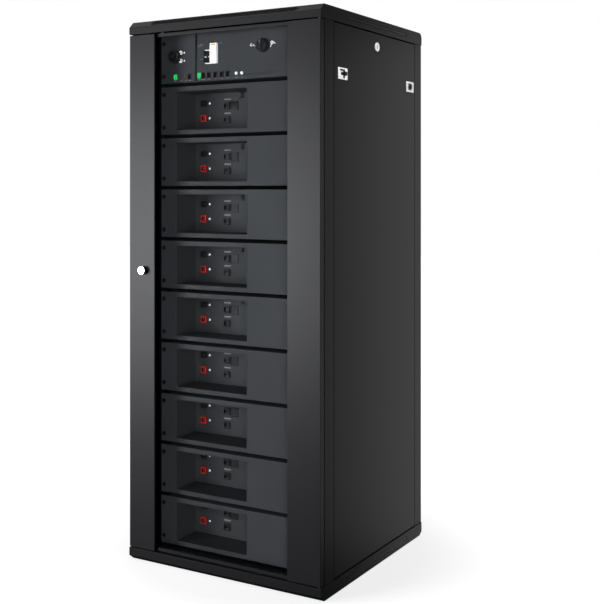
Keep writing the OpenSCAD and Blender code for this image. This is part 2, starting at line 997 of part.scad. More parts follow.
// Plug and cam of the rear lock; the cam swings behind the post's inner flange
module rear_lock_cam() {
    face = half_d + lock_out;
    y0 = half_d - 22.5;
    color([0.7, 0.7, 0.72]) {
        difference() {
            rod_y(rear_lock_x, lock_z, y0 - touch, face - 0.8, plug_r);
            block([rear_lock_x - 0.8, rear_lock_x + 0.8], [face - 6, face], [lock_z - 4, lock_z + 4]);
        }
        block([rear_lock_x - cam_w / 2, rear_lock_x + cam_w / 2], [y0 - cam_t, y0],
            [lock_z - 37, lock_z + 8]);
    }
}

// ---------- side panels ----------

// Folded left panel; the latches and the lock need openings in it
module side_panel() {
    x0 = -body_half;
    z0 = door_z0;
    z1 = door_z1;
    difference() {
        block([x0, x0 + panel_fold], [panel_y0, panel_y1], [z0, z1]);
        block([x0 + panel_t, x0 + panel_fold + 1], [panel_y0 + panel_t, panel_y1 - panel_t],
            [z0 + panel_t, z1 - panel_t]);
        rod_x(side_lock_y, side_lock_z, x0 - 1, x0 + 3, side_body_r);
        for (y = [latch_front_y, latch_rear_y])
            block([x0 - 1, x0 + 3], [y - slot_l / 2, y + slot_l / 2],
                [latch_z - slot_w / 2, latch_z + slot_w / 2]);
        for (y = [panel_y0 - 1, panel_y1 - panel_t - 1])
            block([x0 + 4, x0 + panel_fold + 1], [y, y + panel_t + 2],
                [latch_z - bolt_w / 2 - 0.6, latch_z + bolt_w / 2 + 0.6]);
    }
}

module side_panel_left() {
    color([0.17, 0.17, 0.18])
    side_panel();
}

module side_panel_right() {
    color([0.17, 0.17, 0.18])
    on_side("right")
        side_panel();
}

// Lock barrel and the two slotted latch plates of the left panel
module side_fittings() {
    x0 = -body_half;
    difference() {
        union() {
            rod_x(side_lock_y, side_lock_z, x0 - side_lock_out, x0, side_lock_r);
            rod_x(side_lock_y, side_lock_z, x0 - touch, x0 + 11.5, side_body_r);
        }
        rod_x(side_lock_y, side_lock_z, x0 - side_lock_out - 1, x0 + 13, side_plug_r + plug_gap);
    }
    for (y = [latch_front_y, latch_rear_y])
        difference() {
            block([x0 - latch_t, x0], [y - latch_w / 2, y + latch_w / 2],
                [latch_z - latch_h / 2, latch_z + latch_h / 2]);
            block([x0 - latch_t - 1, x0 + 1], [y - slot_l / 2, y + slot_l / 2],
                [latch_z - slot_w / 2, latch_z + slot_w / 2]);
        }
}

module side_fittings_left() {
    color([0.75, 0.75, 0.77])
    side_fittings();
}

module side_fittings_right() {
    color([0.75, 0.75, 0.77])
    on_side("right")
        side_fittings();
}

// Key plug and the cam that turns up behind the side rail's lip
module side_lock_cam() {
    x0 = -body_half;
    x_cam = x0 + sheet + 11.5;
    difference() {
        rod_x(side_lock_y, side_lock_z, x0 - side_lock_out + 0.8, x_cam + touch, side_plug_r);
        block([x0 - side_lock_out, x0 - side_lock_out + 5], [side_lock_y - 3.5, side_lock_y + 3.5],
            [side_lock_z - 0.7, side_lock_z + 0.7]);
    }
    block([x_cam, x_cam + 2.5], [side_lock_y - 7, side_lock_y + 27], [side_lock_z - 6, side_lock_z + 6]);
}

module side_lock_cam_left() {
    color([0.7, 0.7, 0.72])
    side_lock_cam();
}

module side_lock_cam_right() {
    color([0.7, 0.7, 0.72])
    on_side("right")
        side_lock_cam();
}

// Sliding bolt with its thumb knob; way is -1 towards the front post, 1 towards the rear post
module slide_latch(y, way, post_y) {
    x0 = -body_half;
    x_bolt = x0 + 5.5;
    knob_y = y - way * 5;
    tip = post_y - way * 1;
    rod_x(knob_y, latch_z, x0 - 9, x_bolt + 1, slot_w / 2 - 0.4);
    rod_x(knob_y, latch_z, x0 - 9, x0 - latch_t - 0.4, knob_r + 1);
    block([x_bolt, x_bolt + bolt_t], [min(knob_y - way * 8, tip), max(knob_y - way * 8, tip)],
        [latch_z - bolt_w / 2, latch_z + bolt_w / 2]);
}

module latch_front_left() {
    color([0.12, 0.12, 0.12])
    slide_latch(latch_front_y, -1, panel_y0 + 1);
}

module latch_rear_left() {
    color([0.12, 0.12, 0.12])
    slide_latch(latch_rear_y, 1, panel_y1 - 1);
}

module latch_front_right() {
    color([0.12, 0.12, 0.12])
    on_side("right")
        slide_latch(latch_front_y, -1, panel_y0 + 1);
}

module latch_rear_right() {
    color([0.12, 0.12, 0.12])
    on_side("right")
        slide_latch(latch_rear_y, 1, panel_y1 - 1);
}

// ---------- nodes ----------

base_plinth();
roof_cover();
vent_grilles();
front_posts();
rear_posts();
top_rails();
mounting_rails();
support_rails();
hinge_pins();
for (i = [1 : module_count])
    color([0.2, 0.2, 0.21]) translate([0, 0, module_z(i)]) module_case();
module_bay_pans();
module_cells();
module_busbars();
module_bms_boards();
module_minus_connectors();
module_plus_connectors();
module_ports();
module_indicators();
rack_screws();
control_box_case();
control_box_front();
control_contactors();
control_board();
power_connector();
breaker_body();
terminal_blocks();
control_ports();
isolator_base();
breaker_toggle();
isolator_knob();
button_start();
button_reset();
door_stile_left();
door_stile_right();
door_rails();
door_glass();
glass_retainers();
front_lock_barrel();
front_lock_cam();
rear_door();
rear_lock_barrel();
rear_lock_cam();
side_panel_left();
side_panel_right();
side_fittings_left();
side_fittings_right();
side_lock_cam_left();
side_lock_cam_right();
latch_front_left();
latch_rear_left();
latch_front_right();
latch_rear_right();
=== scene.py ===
import json
import math

import bmesh
import bpy
from mathutils import Matrix, Vector

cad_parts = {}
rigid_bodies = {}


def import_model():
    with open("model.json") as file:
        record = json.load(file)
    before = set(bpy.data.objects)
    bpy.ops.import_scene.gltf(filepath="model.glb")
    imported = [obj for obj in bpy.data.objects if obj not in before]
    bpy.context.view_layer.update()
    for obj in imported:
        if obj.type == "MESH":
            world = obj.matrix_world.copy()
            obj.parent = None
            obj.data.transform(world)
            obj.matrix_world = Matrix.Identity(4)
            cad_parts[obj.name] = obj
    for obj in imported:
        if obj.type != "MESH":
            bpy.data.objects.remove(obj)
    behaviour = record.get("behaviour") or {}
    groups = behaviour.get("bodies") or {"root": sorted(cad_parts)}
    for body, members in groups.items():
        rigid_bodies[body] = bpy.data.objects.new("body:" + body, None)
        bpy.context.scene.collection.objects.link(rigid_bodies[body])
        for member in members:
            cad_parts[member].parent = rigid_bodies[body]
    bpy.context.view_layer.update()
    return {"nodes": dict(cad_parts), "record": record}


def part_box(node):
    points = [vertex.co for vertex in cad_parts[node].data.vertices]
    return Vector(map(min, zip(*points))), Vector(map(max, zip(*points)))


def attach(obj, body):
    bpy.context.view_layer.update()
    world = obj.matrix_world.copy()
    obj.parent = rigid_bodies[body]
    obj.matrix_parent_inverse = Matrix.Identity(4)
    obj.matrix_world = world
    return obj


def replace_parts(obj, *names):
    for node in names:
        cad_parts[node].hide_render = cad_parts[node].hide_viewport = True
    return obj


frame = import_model()

MM = 0.001
BODY_OF = {n: b for b, names in frame["record"]["behaviour"]["bodies"].items() for n in names}


# ---------------------------------------------------------------- materials

def new_material(name):
    mat = bpy.data.materials.new(name)
    mat.use_nodes = True
    nodes = mat.node_tree.nodes
    return mat, nodes, mat.node_tree.links, nodes["Principled BSDF"]


def set_sockets(shader, **values):
    for key, value in values.items():
        shader.inputs[key.replace("_", " ")].default_value = value


def object_coords(nodes, links, scale=(1, 1, 1)):
    coords = nodes.new("ShaderNodeTexCoord")
    mapping = nodes.new("ShaderNodeMapping")
    mapping.inputs["Scale"].default_value = scale
    links.new(coords.outputs["Object"], mapping.inputs["Vector"])
    return mapping.outputs["Vector"]


def noise(nodes, links, vector, scale, detail=3.0, rough=0.55):
    tex = nodes.new("ShaderNodeTexNoise")
    tex.inputs["Scale"].default_value = scale
    tex.inputs["Detail"].default_value = detail
    tex.inputs["Roughness"].default_value = rough
    links.new(vector, tex.inputs["Vector"])
    return tex.outputs["Fac"]


def ramp(nodes, links, fac, stops):
    node = nodes.new("ShaderNodeValToRGB")
    elements = node.color_ramp.elements
    while len(elements) < len(stops):
        elements.new(0.5)
    for element, (at, colour) in zip(elements, stops):
        element.position = at
        element.color = (*colour, 1)
    links.new(fac, node.inputs["Fac"])
    return node.outputs["Color"]


def map_range(nodes, links, value, low, high, from_low=0.0, from_high=1.0):
    node = nodes.new("ShaderNodeMapRange")
    node.inputs["From Min"].default_value = from_low
    node.inputs["From Max"].default_value = from_high
    node.inputs["To Min"].default_value = low
    node.inputs["To Max"].default_value = high
    links.new(value, node.inputs["Value"])
    return node.outputs["Result"]


def bump(nodes, links, height, strength, distance, normal=None):
    node = nodes.new("ShaderNodeBump")
    node.inputs["Strength"].default_value = strength
    node.inputs["Distance"].default_value = distance
    links.new(height, node.inputs["Height"])
    if normal is not None:
        links.new(normal, node.inputs["Normal"])
    return node.outputs["Normal"]


def scaled(colour, k):
    return tuple(min(1.0, c * k) for c in colour)


def edge_mask(nodes, links, radius):
    """1 on outer and inner edges, 0 on flats, from the rounded normal against the true one."""
    rounded = nodes.new("ShaderNodeBevel")
    rounded.samples = 4
    rounded.inputs["Radius"].default_value = radius
    geometry = nodes.new("ShaderNodeNewGeometry")
    dot = nodes.new("ShaderNodeVectorMath")
    dot.operation = "DOT_PRODUCT"
    links.new(rounded.outputs["Normal"], dot.inputs[0])
    links.new(geometry.outputs["Normal"], dot.inputs[1])
    return map_range(nodes, links, dot.outputs["Value"], 1.0, 0.0, 0.75, 0.995)


def powder_coat(name, colour, rough, specular, grain=900.0, wear=0.5):
    """Textured paint: a fine orange-peel grain, faint clouds in tone and rubbed edges."""
    mat, nodes, links, shader = new_material(name)
    vector = object_coords(nodes, links)
    cloud = noise(nodes, links, vector, 3.5, 4.0)
    base = ramp(nodes, links, cloud, [(0.3, scaled(colour, 0.88)), (0.7, scaled(colour, 1.12))])
    edges = edge_mask(nodes, links, 1.2 * MM)
    scuff = noise(nodes, links, vector, 160.0, 5.0, 0.7)
    rub = nodes.new("ShaderNodeMath")
    rub.operation = "MULTIPLY"
    links.new(edges, rub.inputs[0])
    links.new(map_range(nodes, links, scuff, 0.2 * wear, wear, 0.35, 0.65), rub.inputs[1])
    mix = nodes.new("ShaderNodeMix")
    mix.data_type = "RGBA"
    links.new(rub.outputs[0], mix.inputs["Factor"])
    links.new(base, mix.inputs["A"])
    mix.inputs["B"].default_value = (*scaled(colour, 2.6), 1)
    links.new(mix.outputs["Result"], shader.inputs["Base Color"])
    peel = noise(nodes, links, vector, grain, 2.0)
    links.new(map_range(nodes, links, peel, rough - 0.05, rough + 0.07), shader.inputs["Roughness"])
    links.new(bump(nodes, links, peel, 0.22, 0.15 * MM), shader.inputs["Normal"])
    set_sockets(shader, Specular_IOR_Level=specular)
    return mat


def moulded_plastic(name, colour, rough=0.45, specular=0.4, grain=1500.0):
    """Spark-eroded plastic: a fine matt grain and slight tone changes."""
    mat, nodes, links, shader = new_material(name)
    vector = object_coords(nodes, links)
    tone = noise(nodes, links, vector, 60.0, 3.0)
    links.new(ramp(nodes, links, tone, [(0.3, scaled(colour, 0.9)), (0.7, scaled(colour, 1.1))]),
              shader.inputs["Base Color"])
    skin = noise(nodes, links, vector, grain, 2.0)
    links.new(map_range(nodes, links, skin, rough - 0.06, rough + 0.1), shader.inputs["Roughness"])
    links.new(bump(nodes, links, skin, 0.15, 0.06 * MM), shader.inputs["Normal"])
    set_sockets(shader, Specular_IOR_Level=specular)
    return mat


def metal(name, colour, rough, brush=(1, 1, 40), scale=300.0, tarnish=0.25):
    """Plated or brushed metal: fine directional lines and duller patches."""
    mat, nodes, links, shader = new_material(name)
    lines = noise(nodes, links, object_coords(nodes, links, brush), scale, 4.0, 0.6)
    patches = noise(nodes, links, object_coords(nodes, links), 35.0, 4.0)
    links.new(ramp(nodes, links, patches, [(0.35, scaled(colour, 1 - tarnish)), (0.65, colour)]),
              shader.inputs["Base Color"])
    links.new(map_range(nodes, links, lines, rough * 0.7, rough * 1.5), shader.inputs["Roughness"])
    links.new(bump(nodes, links, lines, 0.12, 0.03 * MM), shader.inputs["Normal"])
    set_sockets(shader, Metallic=1.0)
    return mat


def door_glass_material():
    """Lightly tinted pane: clear through, with a coat-like reflection that grows at a glance."""
    mat, nodes, links, shader = new_material("toughened_glass")
    nodes.remove(shader)
    clear = nodes.new("ShaderNodeBsdfTransparent")
    clear.inputs["Color"].default_value = (0.90, 0.915, 0.92, 1)
    gloss = nodes.new("ShaderNodeBsdfGlossy")
    gloss.inputs["Roughness"].default_value = 0.02
    gloss.inputs["Color"].default_value = (0.6, 0.6, 0.62, 1)
    fresnel = nodes.new("ShaderNodeFresnel")
    fresnel.inputs["IOR"].default_value = 1.35
    smear = noise(nodes, links, object_coords(nodes, links), 4.0, 4.0)
    tilt = bump(nodes, links, smear, 0.05, 0.2 * MM)
    links.new(tilt, gloss.inputs["Normal"])
    mix = nodes.new("ShaderNodeMixShader")
    links.new(fresnel.outputs["Fac"], mix.inputs["Fac"])
    links.new(clear.outputs["BSDF"], mix.inputs[1])
    links.new(gloss.outputs["BSDF"], mix.inputs[2])
    links.new(mix.outputs["Shader"], nodes["Material Output"].inputs["Surface"])
    return mat


def circuit_board_material():
    """Solder resist over copper tracks: a maze of thin lighter lines on dark green."""
    mat, nodes, links, shader = new_material("circuit_board")
    vector = object_coords(nodes, links)
    tracks = nodes.new("ShaderNodeTexVoronoi")
    tracks.feature = "DISTANCE_TO_EDGE"
    tracks.distance = "MANHATTAN"
    tracks.inputs["Scale"].default_value = 260.0
    links.new(vector, tracks.inputs["Vector"])
    colour = ramp(nodes, links, tracks.outputs["Distance"],
                  [(0.03, (0.08, 0.3, 0.12)), (0.08, (0.015, 0.11, 0.045))])
    links.new(colour, shader.inputs["Base Color"])
    links.new(map_range(nodes, links, tracks.outputs["Distance"], 0.3, 0.5), shader.inputs["Roughness"])
    return mat


def ink(name, colour, painted_glow=0.0):
    """Screen print: flat ink with slightly uneven cover; where given, an emission makes the ink glow as
    painted light.
    """
    mat, nodes, links, shader = new_material(name)
    cover = noise(nodes, links, object_coords(nodes, links), 900.0, 3.0)
    links.new(ramp(nodes, links, cover, [(0.25, scaled(colour, 0.82)), (0.6, colour)]),
              shader.inputs["Base Color"])
    links.new(map_range(nodes, links, cover, 0.5, 0.65), shader.inputs["Roughness"])
    if painted_glow:
        shader.inputs["Emission Color"].default_value = (*colour, 1)
        shader.inputs["Emission Strength"].default_value = painted_glow
    return mat


# The frame coat is darker than the cover coat; on the plinth that difference is painted shade.
FRAME_PAINT = powder_coat("frame_powder_coat", (0.0155, 0.0157, 0.0172), 0.46, 0.3)
DOOR_PAINT = powder_coat("door_powder_coat", (0.023, 0.023, 0.0255), 0.39, 0.38)
COVER_PAINT = powder_coat("cover_powder_coat", (0.019, 0.019, 0.021), 0.46, 0.34)
MODULE_PAINT = powder_coat("module_powder_coat", (0.056, 0.056, 0.062), 0.58, 0.5)
BAY_PAINT = powder_coat("bay_powder_coat", (0.050, 0.050, 0.055), 0.6, 0.5)
SCREEN_PAINT = powder_coat("screen_powder_coat", (0.075, 0.075, 0.08), 0.42, 0.5)
VENT_PAINT = powder_coat("vent_powder_coat", (0.012, 0.012, 0.013), 0.55, 0.25)
ZINC = metal("zinc_plate", (0.42, 0.43, 0.45), 0.38)
CHROME = metal("bright_chrome", (0.86, 0.87, 0.88), 0.12, brush=(1, 1, 1), scale=90.0, tarnish=0.06)
SATIN_STEEL = metal("satin_steel", (0.74, 0.75, 0.76), 0.3, brush=(1, 1, 30))
SATIN_ZINC = metal("satin_zinc", (0.84, 0.84, 0.85), 0.5, tarnish=0.1)
SATIN_ZINC.node_tree.nodes["Principled BSDF"].inputs["Metallic"].default_value = 0.25
BRASS = metal("contact_brass", (0.72, 0.52, 0.24), 0.28)
COPPER = metal("tinned_copper", (0.68, 0.42, 0.28), 0.32)
BLACK_STEEL = metal("black_oxide_steel", (0.045, 0.045, 0.048), 0.42)
BLACK_PLASTIC = moulded_plastic("black_polyamide", (0.012, 0.012, 0.013), 0.42, 0.35)
DARK_PLASTIC = moulded_plastic("dark_grey_plastic", (0.03, 0.031, 0.033), 0.5, 0.3)
RED_PLASTIC = moulded_plastic("red_polyamide", (0.26, 0.007, 0.005), 0.42)
GREEN_PLASTIC = moulded_plastic("green_polyamide", (0.015, 0.55, 0.1), 0.4)
WHITE_PLASTIC = moulded_plastic("white_polyamide", (0.9, 0.89, 0.87), 0.35)
OLIVE_PLASTIC = moulded_plastic("olive_polyamide", (0.035, 0.037, 0.03), 0.45)
GREY_PLASTIC = moulded_plastic("grey_polyamide", (0.3, 0.3, 0.31), 0.45)
BLUE_FILM = moulded_plastic("blue_cell_film", (0.05, 0.12, 0.32), 0.3)
RUBBER = moulded_plastic("black_rubber", (0.008, 0.008, 0.008), 0.7, 0.2)
BOARD = circuit_board_material()
GLASS = door_glass_material()
# The white ink glows a little: painted light on the white print.
WHITE_INK = ink("white_ink", (0.92, 0.92, 0.9), 0.12)
GREY_INK = ink("grey_ink", (0.34, 0.34, 0.35))
ORANGE_INK = ink("orange_ink", (0.95, 0.38, 0.06))
AMBER_INK = ink("amber_ink", (0.2, 0.12, 0.02))
PALE_INK = ink("pale_ink", (0.6, 0.6, 0.6))
BLUE_INK = ink("blue_ink", (0.15, 0.35, 0.8))


# ---------------------------------------------------------------- mesh tools

def add_object(name, bm, material, body, smooth_angle=35.0):
    mesh = bpy.data.meshes.new(name)
    bmesh.ops.recalc_face_normals(bm, faces=bm.faces)
    bm.to_mesh(mesh)
    bm.free()
    mesh.materials.append(material)
    for polygon in mesh.polygons:
        polygon.use_smooth = True
    mesh.set_sharp_from_angle(angle=math.radians(smooth_angle))
    piece = bpy.data.objects.new(name, mesh)
    bpy.context.scene.collection.objects.link(piece)
    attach(piece, body)
    return piece


def bake_modifiers(piece):
    graph = bpy.context.evaluated_depsgraph_get()
    mesh = bpy.data.meshes.new_from_object(piece.evaluated_get(graph), preserve_all_data_layers=True,
                                           depsgraph=graph)
    piece.modifiers.clear()
    piece.data = mesh


def softened(node, material, width, segments=2):
    """A copy of a CAD node with its folded and moulded edges rounded; it stands for the node."""
    source = frame["nodes"][node]
    bm = bmesh.new()
    bm.from_mesh(source.data)
    bmesh.ops.remove_doubles(bm, verts=bm.verts, dist=0.004 * MM)
    bmesh.ops.dissolve_limit(bm, angle_limit=math.radians(1.0), verts=bm.verts, edges=bm.edges)
    mesh = bpy.data.meshes.new(node + "_finish")
    bm.to_mesh(mesh)
    bm.free()
    mesh.materials.clear()
    mesh.materials.append(material)
    for polygon in mesh.polygons:
        polygon.use_smooth = True
        polygon.material_index = 0
    mesh.set_sharp_from_angle(angle=math.radians(28))
    piece = bpy.data.objects.new(node + "_finish", mesh)
    bpy.context.scene.collection.objects.link(piece)
    if width > 0:
        bevel = piece.modifiers.new("edge", "BEVEL")
        bevel.width = width * MM
        bevel.segments = segments
        bevel.limit_method = "ANGLE"
        bevel.angle_limit = math.radians(40)
        bevel.use_clamp_overlap = False
        bevel.harden_normals = True
        bake_modifiers(piece)
    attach(piece, BODY_OF[node])
    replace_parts(piece, node)
    return piece


def finish_node(node, material):
    """Gives a CAD node its procedural material and keeps its shape."""
    mesh = frame["nodes"][node].data
    for index in range(max(1, len(mesh.materials))):
        if index < len(mesh.materials):
            mesh.materials[index] = material
        else:
            mesh.materials.append(material)


def add_box(bm, low, high, round_by=0.0, segments=2):
    """A box in millimetres; its edges are rounded by round_by."""
    part = bmesh.new()
    bmesh.ops.create_cube(part, size=1)
    size = [(h - l) * MM for l, h in zip(low, high)]
    centre = [(h + l) / 2 * MM for l, h in zip(low, high)]
    for vert in part.verts:
        vert.co = Vector([c + v * s for c, v, s in zip(centre, vert.co, size)])
    if round_by:
        bmesh.ops.bevel(part, geom=list(part.edges), offset=round_by * MM, segments=segments, profile=0.5,
                        affect="EDGES", clamp_overlap=True)
    merge(bm, part)


def merge(bm, part, matrix=None):
    if matrix is not None:
        part.transform(matrix)
    mesh = bpy.data.meshes.new("scratch")
    part.to_mesh(mesh)
    part.free()
    bm.from_mesh(mesh)
    bpy.data.meshes.remove(mesh)


def add_lathe(bm, at, profile, axis="-Y", segments=32):
    """Turns a closed outline of (radius, height) points in millimetres about an axis through at."""
    part = bmesh.new()
    rings = []
    for radius, height in profile:
        if rings and (radius, height) == tuple(profile[0]):
            rings.append(rings[0])
        elif radius < 1e-6:
            rings.append([part.verts.new((0, 0, height * MM))])
        else:
            rings.append([part.verts.new((radius * MM * math.cos(a), radius * MM * math.sin(a), height * MM))
                          for a in (2 * math.pi * k / segments for k in range(segments))])
    for lower, upper in zip(rings, rings[1:]):
        for k in range(segments):
            j = (k + 1) % segments
            corners = [lower[k % len(lower)], lower[j % len(lower)],
                       upper[j % len(upper)], upper[k % len(upper)]]
            unique = list(dict.fromkeys(corners))
            if len(unique) > 2:
                part.faces.new(unique)
    for ring in (rings[0], rings[-1]):
        if len(ring) > 1 and rings[0] is not rings[-1] and profile[0] != profile[-1]:
            part.faces.new(ring)
    turn = {"-Y": Matrix.Rotation(math.radians(90), 4, "X"), "+Y": Matrix.Rotation(math.radians(-90), 4, "X"),
            "+X": Matrix.Rotation(math.radians(90), 4, "Y"), "-X": Matrix.Rotation(math.radians(-90), 4, "Y"),
            "+Z": Matrix.Identity(4)}[axis]
    merge(bm, part, Matrix.Translation(Vector(at) * MM) @ turn)


def add_outline(bm, points, y0, y1):
    """A flat shape with (x, z) corners in millimetres, extruded from y0 to y1."""
    part = bmesh.new()
    front = [part.verts.new((x * MM, y0 * MM, z * MM)) for x, z in points]
    back = [part.verts.new((x * MM, y1 * MM, z * MM)) for x, z in points]
    part.faces.new(front)
    part.faces.new(back[::-1])
    for k in range(len(points)):
        j = (k + 1) % len(points)
        part.faces.new((front[k], back[k], back[j], front[j]))
    merge(bm, part)


def add_ring(bm, x, z, outer, inner, y0, y1, segments=28):
    """A flat ring facing -Y."""
    add_lathe(bm, (x, y1, z), [(inner, 0), (outer, 0), (outer, y1 - y0), (inner, y1 - y0), (inner, 0)],
              "-Y", segments)


def add_stroke(bm, x0, z0, x1, z1, width, y0, y1):
    """A straight printed stroke between two points."""
    along = Vector((x1 - x0, z1 - z0)).normalized()
    side = Vector((-along.y, along.x)) * width / 2
    add_outline(bm, [(x0 + side.x, z0 + side.y), (x0 - side.x, z0 - side.y),
                     (x1 - side.x, z1 - side.y), (x1 + side.x, z1 + side.y)], y0, y1)


def mm_box(node):
    low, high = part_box(node)
    return [v / MM for v in low], [v / MM for v in high]


# ---------------------------------------------------------------- places from the frame

base_low, base_high = mm_box("base_plinth")
cover_low, cover_high = mm_box("roof_cover")
vent_low, vent_high = mm_box("vent_grilles")
pan_high = mm_box("module_bay_pans")[1]
panel_low, panel_high = mm_box("control_box_front")
module_boxes = [mm_box("module_%d_case" % i) for i in range(1, 10)]
rack_y = panel_low[1]
box_z = panel_low[2]
bay_back = pan_high[1] - 1.5
minus_low, minus_high = mm_box("module_minus_connectors")
plus_high = mm_box("module_plus_connectors")[1]
ports_low, ports_high = mm_box("module_ports")
module_top_z = module_boxes[0][0][2]
connector_x = (minus_low[0] + minus_high[0]) / 2
minus_z = minus_high[2] - 8 - module_top_z
plus_z = plus_high[2] - 9.5 - module_top_z
jack_x = (ports_low[0] + ports_high[0]) / 2
jack_top_z = ports_high[2] - 9 - module_top_z
jack_drop = 38.5
front_seam_x = -123
PRINT = 0.25


# ---------------------------------------------------------------- cabinet finishes

def cabinet_finishes():
    # The plinth wears the darker frame coat rather than the roof's cover coat: painted shade at the foot of
    # the cabinet.
    softened("base_plinth", FRAME_PAINT, 0.7)
    softened("roof_cover", COVER_PAINT, 0.7)
    softened("front_posts", FRAME_PAINT, 0.6)
    softened("rear_posts", FRAME_PAINT, 0.6)
    softened("side_panel_left", FRAME_PAINT, 0.6)
    softened("side_panel_right", FRAME_PAINT, 0.6)
    softened("door_stile_left", DOOR_PAINT, 0.9, 3)
    softened("door_stile_right", DOOR_PAINT, 0.9, 3)
    finish_node("rear_door", FRAME_PAINT)
    softened("door_rails", DOOR_PAINT, 0.4)
    softened("glass_retainers", RUBBER, 0.4)
    softened("door_glass", GLASS, 0.6)
    for node in ("front_lock_barrel", "rear_lock_barrel"):
        softened(node, CHROME, 0.8, 3)
    for node in ("front_lock_cam", "rear_lock_cam", "side_lock_cam_left", "side_lock_cam_right"):
        softened(node, SATIN_STEEL, 0.25)
    for node in ("side_fittings_left", "side_fittings_right"):
        softened(node, SATIN_ZINC, 0.45, 3)
    for side in ("left", "right"):
        softened("latch_front_" + side, BLACK_PLASTIC, 0.4)
        softened("latch_rear_" + side, GREY_PLASTIC, 0.4)
    finish_node("top_rails", FRAME_PAINT)
    finish_node("mounting_rails", FRAME_PAINT)
    finish_node("support_rails", ZINC)
    softened("hinge_pins", SATIN_STEEL, 0.3)


def unit_finishes():
    for index in range(1, 10):
        softened("module_%d_case" % index, MODULE_PAINT, 0.6)
    softened("module_bay_pans", BAY_PAINT, 0.5)
    finish_node("module_cells", BLUE_FILM)
    finish_node("module_busbars", COPPER)
    finish_node("module_bms_boards", BOARD)
    softened("module_minus_connectors", BLACK_PLASTIC, 0.8)
    softened("module_plus_connectors", RED_PLASTIC, 0.8)
    softened("module_ports", DARK_PLASTIC, 0.35)
    softened("module_indicators", BLACK_PLASTIC, 0.3)
    softened("control_box_case", MODULE_PAINT, 0.5)
    softened("control_box_front", MODULE_PAINT, 0.5)
    finish_node("control_contactors", DARK_PLASTIC)
    finish_node("control_board", BOARD)
    softened("power_connector", BLACK_PLASTIC, 0.6)
    softened("breaker_body", WHITE_PLASTIC, 0.35)
    softened("terminal_blocks", GREEN_PLASTIC, 0.3)
    softened("control_ports", BLACK_PLASTIC, 0.3)
    softened("isolator_base", BLACK_PLASTIC, 0.6)
    softened("breaker_toggle", BLACK_PLASTIC, 0.4)
    softened("isolator_knob", DARK_PLASTIC, 0.8)
    softened("button_start", WHITE_PLASTIC, 0.5)
    softened("button_reset", WHITE_PLASTIC, 0.5)


# ---------------------------------------------------------------- perforated vents

def perforated_strip(bm, centre, u, v, out, length, height, pitch, rows, hole, thick):
    """Perforated sheet: rows of round holes along u, every other row moved by half a pitch."""
    columns = int(length / pitch)
    step_v = height / rows
    # Directions from a cell's middle to its corners, its mid-sides and the quarter points between them
    quarter = [(0.5, 0), (0.5, 0.25), (0.5, 0.5), (0.25, 0.5)]
    rim = [turned for k in range(4) for turned in
           (((a, b), (-b, a), (-a, -b), (b, -a))[k] for a, b in quarter)]
    corners = {}

    def corner(a, b, layer):
        key = (round(a, 3), round(b, 3), layer)
        if key not in corners:
            corners[key] = bm.verts.new(centre + u * (a * MM) + v * (b * MM) - out * (layer * thick * MM))
        return corners[key]

    for row in range(rows):
        b0 = (row - (rows - 1) / 2) * step_v
        inset = (row % 2) * 0.5
        trim = 0 if rows < 3 or 0 < row < rows - 1 else 1
        for column in range(trim, columns - trim):
            a0 = (column - (columns - 1) / 2 + inset - 0.25) * pitch
            loops = []
            for layer in (0, 1):
                outer = [corner(a0 + a * pitch, b0 + b * step_v, layer) for a, b in rim]
                inner = []
                for a, b in rim:
                    reach = hole / math.hypot(a * pitch, b * step_v)
                    inner.append(corner(a0 + a * pitch * reach, b0 + b * step_v * reach, layer))
                loops.append((outer, inner))
            (outer, inner), (outer_back, inner_back) = loops
            for k in range(len(rim)):
                j = (k + 1) % len(rim)
                bm.faces.new((inner[k], outer[k], outer[j], inner[j]))
                bm.faces.new((inner_back[k], inner_back[j], outer_back[j], outer_back[k]))
                bm.faces.new((inner[k], inner[j], inner_back[j], inner_back[k]))
    # The sheet's edge all round
    behind = {vert: corners[(a, b, 1)] for (a, b, layer), vert in corners.items() if layer == 0}
    for edge in [e for e in bm.edges if e.is_boundary and all(vert in behind for vert in e.verts)]:
        first, second = edge.verts
        bm.faces.new((first, second, behind[second], behind[first]))


def vents():
    """Perforated sheet in the four side windows and on the cover's front slope."""
    bm = bmesh.new()
    mid_y = (vent_low[1] + vent_high[1]) / 2
    length = vent_high[1] - vent_low[1] - 5
    height = 13.4
    heights = [(base_low[2] + base_high[2]) / 2, (cover_low[2] + cover_high[2]) / 2]
    for side in (-1, 1):
        for z in heights:
            perforated_strip(bm, Vector((side * (base_high[0] - 0.15), mid_y, z)) * MM, Vector((0, 1, 0)),
                             Vector((0, 0, 1)), Vector((side, 0, 0)), length, height, 9.0, 2, 2.7, 0.9)
    strip = add_object("vent_perforations", bm, SCREEN_PAINT, "cabinet")
    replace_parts(strip, "vent_grilles")

    bm = bmesh.new()
    face_h = 19.0
    slope_d = 16.0
    top = Vector((0, cover_low[1] + slope_d, cover_high[2]))
    bottom = Vector((0, cover_low[1], cover_low[2] + face_h))
    up = (top - bottom).normalized()
    out = Vector((0, up.z * -1, up.y)).normalized()
    centre = (top + bottom) / 2 * MM + out * (0.5 * MM)
    perforated_strip(bm, centre, Vector((1, 0, 0)), up, out, 460, 15.0, 5.0, 3, 1.8, 0.4)
    add_object("cover_front_perforations", bm, VENT_PAINT, "cabinet")


# ---------------------------------------------------------------- screws and rack details

